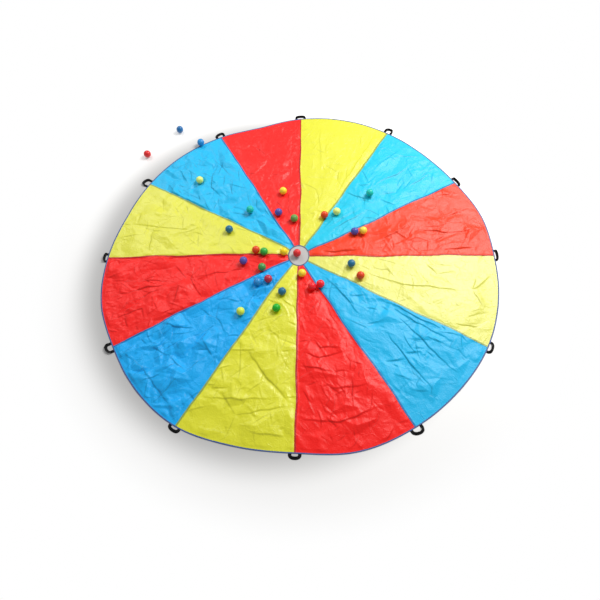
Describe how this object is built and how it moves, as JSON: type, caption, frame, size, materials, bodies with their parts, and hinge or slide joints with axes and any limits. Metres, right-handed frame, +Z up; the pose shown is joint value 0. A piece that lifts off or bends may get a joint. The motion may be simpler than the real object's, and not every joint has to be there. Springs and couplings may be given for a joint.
{
  "type": "play parachute",
  "caption": "Round group-play canopy of coloured cloth gores with a bound vent and rim, webbing hand loops at the seams, and light play balls lying on it.",
  "frame": {"origin": "on the floor under the middle of the canopy, at the bottom centre of the part's box", "axes": "+Z up, through the vent; +Y along the seam between the red and the yellow gore that points away from the picture's camera, +X to the right"},
  "size_m": [3.4431, 3.4597, 0.0793],
  "materials": {
    "cloth_yellow": "thin crisp polyester taffeta with a soft sheen",
    "cloth_blue": "thin crisp polyester taffeta with a soft sheen",
    "cloth_red": "thin crisp polyester taffeta with a soft sheen",
    "binding_tape": "woven blue bias tape, satin",
    "webbing": "ribbed black polypropylene webbing, matte",
    "ball_yellow": "soft blown polyethylene, satin gloss",
    "ball_green": "soft blown polyethylene, satin gloss",
    "ball_red": "soft blown polyethylene, satin gloss",
    "ball_blue": "soft blown polyethylene, satin gloss"
  },
  "bodies": {
    "canopy": {"gore_01_yellow": "cloth_yellow", "gore_02_blue": "cloth_blue", "gore_03_red": "cloth_red", "gore_04_yellow": "cloth_yellow", "gore_05_blue": "cloth_blue", "gore_06_red": "cloth_red", "gore_07_yellow": "cloth_yellow", "gore_08_blue": "cloth_blue", "gore_09_red": "cloth_red", "gore_10_yellow": "cloth_yellow", "gore_11_blue": "cloth_blue", "gore_12_red": "cloth_red", "rim_binding": "binding_tape", "vent_binding": "binding_tape"},
    "handle_01": {"handle_01": "webbing"},
    "handle_02": {"handle_02": "webbing"},
    "handle_03": {"handle_03": "webbing"},
    "handle_04": {"handle_04": "webbing"},
    "handle_05": {"handle_05": "webbing"},
    "handle_06": {"handle_06": "webbing"},
    "handle_07": {"handle_07": "webbing"},
    "handle_08": {"handle_08": "webbing"},
    "handle_09": {"handle_09": "webbing"},
    "handle_10": {"handle_10": "webbing"},
    "handle_11": {"handle_11": "webbing"},
    "handle_12": {"handle_12": "webbing"},
    "ball_blue_1": {"ball_blue_1": "ball_blue"},
    "ball_blue_2": {"ball_blue_2": "ball_blue"},
    "ball_blue_3": {"ball_blue_3": "ball_blue"},
    "ball_blue_4": {"ball_blue_4": "ball_blue"},
    "ball_blue_5": {"ball_blue_5": "ball_blue"},
    "ball_blue_6": {"ball_blue_6": "ball_blue"},
    "ball_blue_7": {"ball_blue_7": "ball_blue"},
    "ball_blue_8": {"ball_blue_8": "ball_blue"},
    "ball_blue_9": {"ball_blue_9": "ball_blue"},
    "ball_green_1": {"ball_green_1": "ball_green"},
    "ball_green_2": {"ball_green_2": "ball_green"},
    "ball_green_3": {"ball_green_3": "ball_green"},
    "ball_green_4": {"ball_green_4": "ball_green"},
    "ball_green_5": {"ball_green_5": "ball_green"},
    "ball_green_6": {"ball_green_6": "ball_green"},
    "ball_red_1": {"ball_red_1": "ball_red"},
    "ball_red_2": {"ball_red_2": "ball_red"},
    "ball_red_3": {"ball_red_3": "ball_red"},
    "ball_red_4": {"ball_red_4": "ball_red"},
    "ball_red_5": {"ball_red_5": "ball_red"},
    "ball_red_6": {"ball_red_6": "ball_red"},
    "ball_red_7": {"ball_red_7": "ball_red"},
    "ball_red_8": {"ball_red_8": "ball_red"},
    "ball_yellow_1": {"ball_yellow_1": "ball_yellow"},
    "ball_yellow_2": {"ball_yellow_2": "ball_yellow"},
    "ball_yellow_3": {"ball_yellow_3": "ball_yellow"},
    "ball_yellow_4": {"ball_yellow_4": "ball_yellow"},
    "ball_yellow_5": {"ball_yellow_5": "ball_yellow"},
    "ball_yellow_6": {"ball_yellow_6": "ball_yellow"},
    "ball_yellow_7": {"ball_yellow_7": "ball_yellow"}
  },
  "joints": [
    {"name": "handle_01_lift", "type": "hinge", "parent": "canopy", "child": "handle_01", "pos_m": [-0.00459, 1.7016, 0.0017], "axis": [0.9907, 0.1358, 0], "range_deg": [0, 90]},
    {"name": "handle_02_lift", "type": "hinge", "parent": "canopy", "child": "handle_02", "pos_m": [0.88382, 1.49298, 0.0017], "axis": [0.8378, -0.546, 0], "range_deg": [0, 90]},
    {"name": "handle_03_lift", "type": "hinge", "parent": "canopy", "child": "handle_03", "pos_m": [1.47457, 0.83271, 0.0017], "axis": [0.5, -0.866, 0], "range_deg": [0, 90]},
    {"name": "handle_04_lift", "type": "hinge", "parent": "canopy", "child": "handle_04", "pos_m": [1.69239, -0.00367, 0.0017], "axis": [-0.0127, -0.9999, 0], "range_deg": [0, 90]},
    {"name": "handle_05_lift", "type": "hinge", "parent": "canopy", "child": "handle_05", "pos_m": [1.47732, -0.86964, 0.0017], "axis": [-0.5006, -0.8657, 0], "range_deg": [0, 90]},
    {"name": "handle_06_lift", "type": "hinge", "parent": "canopy", "child": "handle_06", "pos_m": [0.83134, -1.50075, 0.0017], "axis": [-0.8667, -0.4989, 0], "range_deg": [0, 90]},
    {"name": "handle_07_lift", "type": "hinge", "parent": "canopy", "child": "handle_07", "pos_m": [-0.04898, -1.68377, 0.0017], "axis": [-0.9987, 0.0505, 0], "range_deg": [0, 90]},
    {"name": "handle_08_lift", "type": "hinge", "parent": "canopy", "child": "handle_08", "pos_m": [-0.92191, -1.49387, 0.0017], "axis": [-0.8775, 0.4796, 0], "range_deg": [0, 90]},
    {"name": "handle_09_lift", "type": "hinge", "parent": "canopy", "child": "handle_09", "pos_m": [-1.49269, -0.86998, 0.0017], "axis": [-0.4824, 0.876, 0], "range_deg": [0, 90]},
    {"name": "handle_10_lift", "type": "hinge", "parent": "canopy", "child": "handle_10", "pos_m": [-1.69339, -0.02994, 0.0017], "axis": [0.0698, 0.9976, 0], "range_deg": [0, 90]},
    {"name": "handle_11_lift", "type": "hinge", "parent": "canopy", "child": "handle_11", "pos_m": [-1.44995, 0.81347, 0.0017], "axis": [0.4755, 0.8797, 0], "range_deg": [0, 90]},
    {"name": "handle_12_lift", "type": "hinge", "parent": "canopy", "child": "handle_12", "pos_m": [-0.81861, 1.43532, 0.0017], "axis": [0.8933, 0.4495, 0], "range_deg": [0, 90]},
    {"name": "ball_blue_1_toss", "type": "slide", "parent": "canopy", "child": "ball_blue_1", "axis": [0, 0, 1], "range_m": [0, 0.25]},
    {"name": "ball_blue_2_toss", "type": "slide", "parent": "canopy", "child": "ball_blue_2", "axis": [0, 0, 1], "range_m": [0, 0.25]},
    {"name": "ball_blue_3_toss", "type": "slide", "parent": "canopy", "child": "ball_blue_3", "axis": [0, 0, 1], "range_m": [0, 0.25]},
    {"name": "ball_blue_4_toss", "type": "slide", "parent": "canopy", "child": "ball_blue_4", "axis": [0, 0, 1], "range_m": [0, 0.25]},
    {"name": "ball_blue_5_toss", "type": "slide", "parent": "canopy", "child": "ball_blue_5", "axis": [0, 0, 1], "range_m": [0, 0.25]},
    {"name": "ball_blue_6_toss", "type": "slide", "parent": "canopy", "child": "ball_blue_6", "axis": [0, 0, 1], "range_m": [0, 0.25]},
    {"name": "ball_blue_7_toss", "type": "slide", "parent": "canopy", "child": "ball_blue_7", "axis": [0, 0, 1], "range_m": [0, 0.25]},
    {"name": "ball_blue_8_toss", "type": "slide", "parent": "canopy", "child": "ball_blue_8", "axis": [0, 0, 1], "range_m": [0, 0.25]},
    {"name": "ball_blue_9_toss", "type": "slide", "parent": "canopy", "child": "ball_blue_9", "axis": [0, 0, 1], "range_m": [0, 0.25]},
    {"name": "ball_green_1_toss", "type": "slide", "parent": "canopy", "child": "ball_green_1", "axis": [0, 0, 1], "range_m": [0, 0.25]},
    {"name": "ball_green_2_toss", "type": "slide", "parent": "canopy", "child": "ball_green_2", "axis": [0, 0, 1], "range_m": [0, 0.25]},
    {"name": "ball_green_3_toss", "type": "slide", "parent": "canopy", "child": "ball_green_3", "axis": [0, 0, 1], "range_m": [0, 0.25]},
    {"name": "ball_green_4_toss", "type": "slide", "parent": "canopy", "child": "ball_green_4", "axis": [0, 0, 1], "range_m": [0, 0.25]},
    {"name": "ball_green_5_toss", "type": "slide", "parent": "canopy", "child": "ball_green_5", "axis": [0, 0, 1], "range_m": [0, 0.25]},
    {"name": "ball_green_6_toss", "type": "slide", "parent": "canopy", "child": "ball_green_6", "axis": [0, 0, 1], "range_m": [0, 0.25]},
    {"name": "ball_red_1_toss", "type": "slide", "parent": "canopy", "child": "ball_red_1", "axis": [0, 0, 1], "range_m": [0, 0.25]},
    {"name": "ball_red_2_toss", "type": "slide", "parent": "canopy", "child": "ball_red_2", "axis": [0, 0, 1], "range_m": [0, 0.25]},
    {"name": "ball_red_3_toss", "type": "slide", "parent": "canopy", "child": "ball_red_3", "axis": [0, 0, 1], "range_m": [0, 0.25]},
    {"name": "ball_red_4_toss", "type": "slide", "parent": "canopy", "child": "ball_red_4", "axis": [0, 0, 1], "range_m": [0, 0.25]},
    {"name": "ball_red_5_toss", "type": "slide", "parent": "canopy", "child": "ball_red_5", "axis": [0, 0, 1], "range_m": [0, 0.25]},
    {"name": "ball_red_6_toss", "type": "slide", "parent": "canopy", "child": "ball_red_6", "axis": [0, 0, 1], "range_m": [0, 0.25]},
    {"name": "ball_red_7_toss", "type": "slide", "parent": "canopy", "child": "ball_red_7", "axis": [0, 0, 1], "range_m": [0, 0.25]},
    {"name": "ball_red_8_toss", "type": "slide", "parent": "canopy", "child": "ball_red_8", "axis": [0, 0, 1], "range_m": [0, 0.25]},
    {"name": "ball_yellow_1_toss", "type": "slide", "parent": "canopy", "child": "ball_yellow_1", "axis": [0, 0, 1], "range_m": [0, 0.25]},
    {"name": "ball_yellow_2_toss", "type": "slide", "parent": "canopy", "child": "ball_yellow_2", "axis": [0, 0, 1], "range_m": [0, 0.25]},
    {"name": "ball_yellow_3_toss", "type": "slide", "parent": "canopy", "child": "ball_yellow_3", "axis": [0, 0, 1], "range_m": [0, 0.25]},
    {"name": "ball_yellow_4_toss", "type": "slide", "parent": "canopy", "child": "ball_yellow_4", "axis": [0, 0, 1], "range_m": [0, 0.25]},
    {"name": "ball_yellow_5_toss", "type": "slide", "parent": "canopy", "child": "ball_yellow_5", "axis": [0, 0, 1], "range_m": [0, 0.25]},
    {"name": "ball_yellow_6_toss", "type": "slide", "parent": "canopy", "child": "ball_yellow_6", "axis": [0, 0, 1], "range_m": [0, 0.25]},
    {"name": "ball_yellow_7_toss", "type": "slide", "parent": "canopy", "child": "ball_yellow_7", "axis": [0, 0, 1], "range_m": [0, 0.25]}
  ]
}
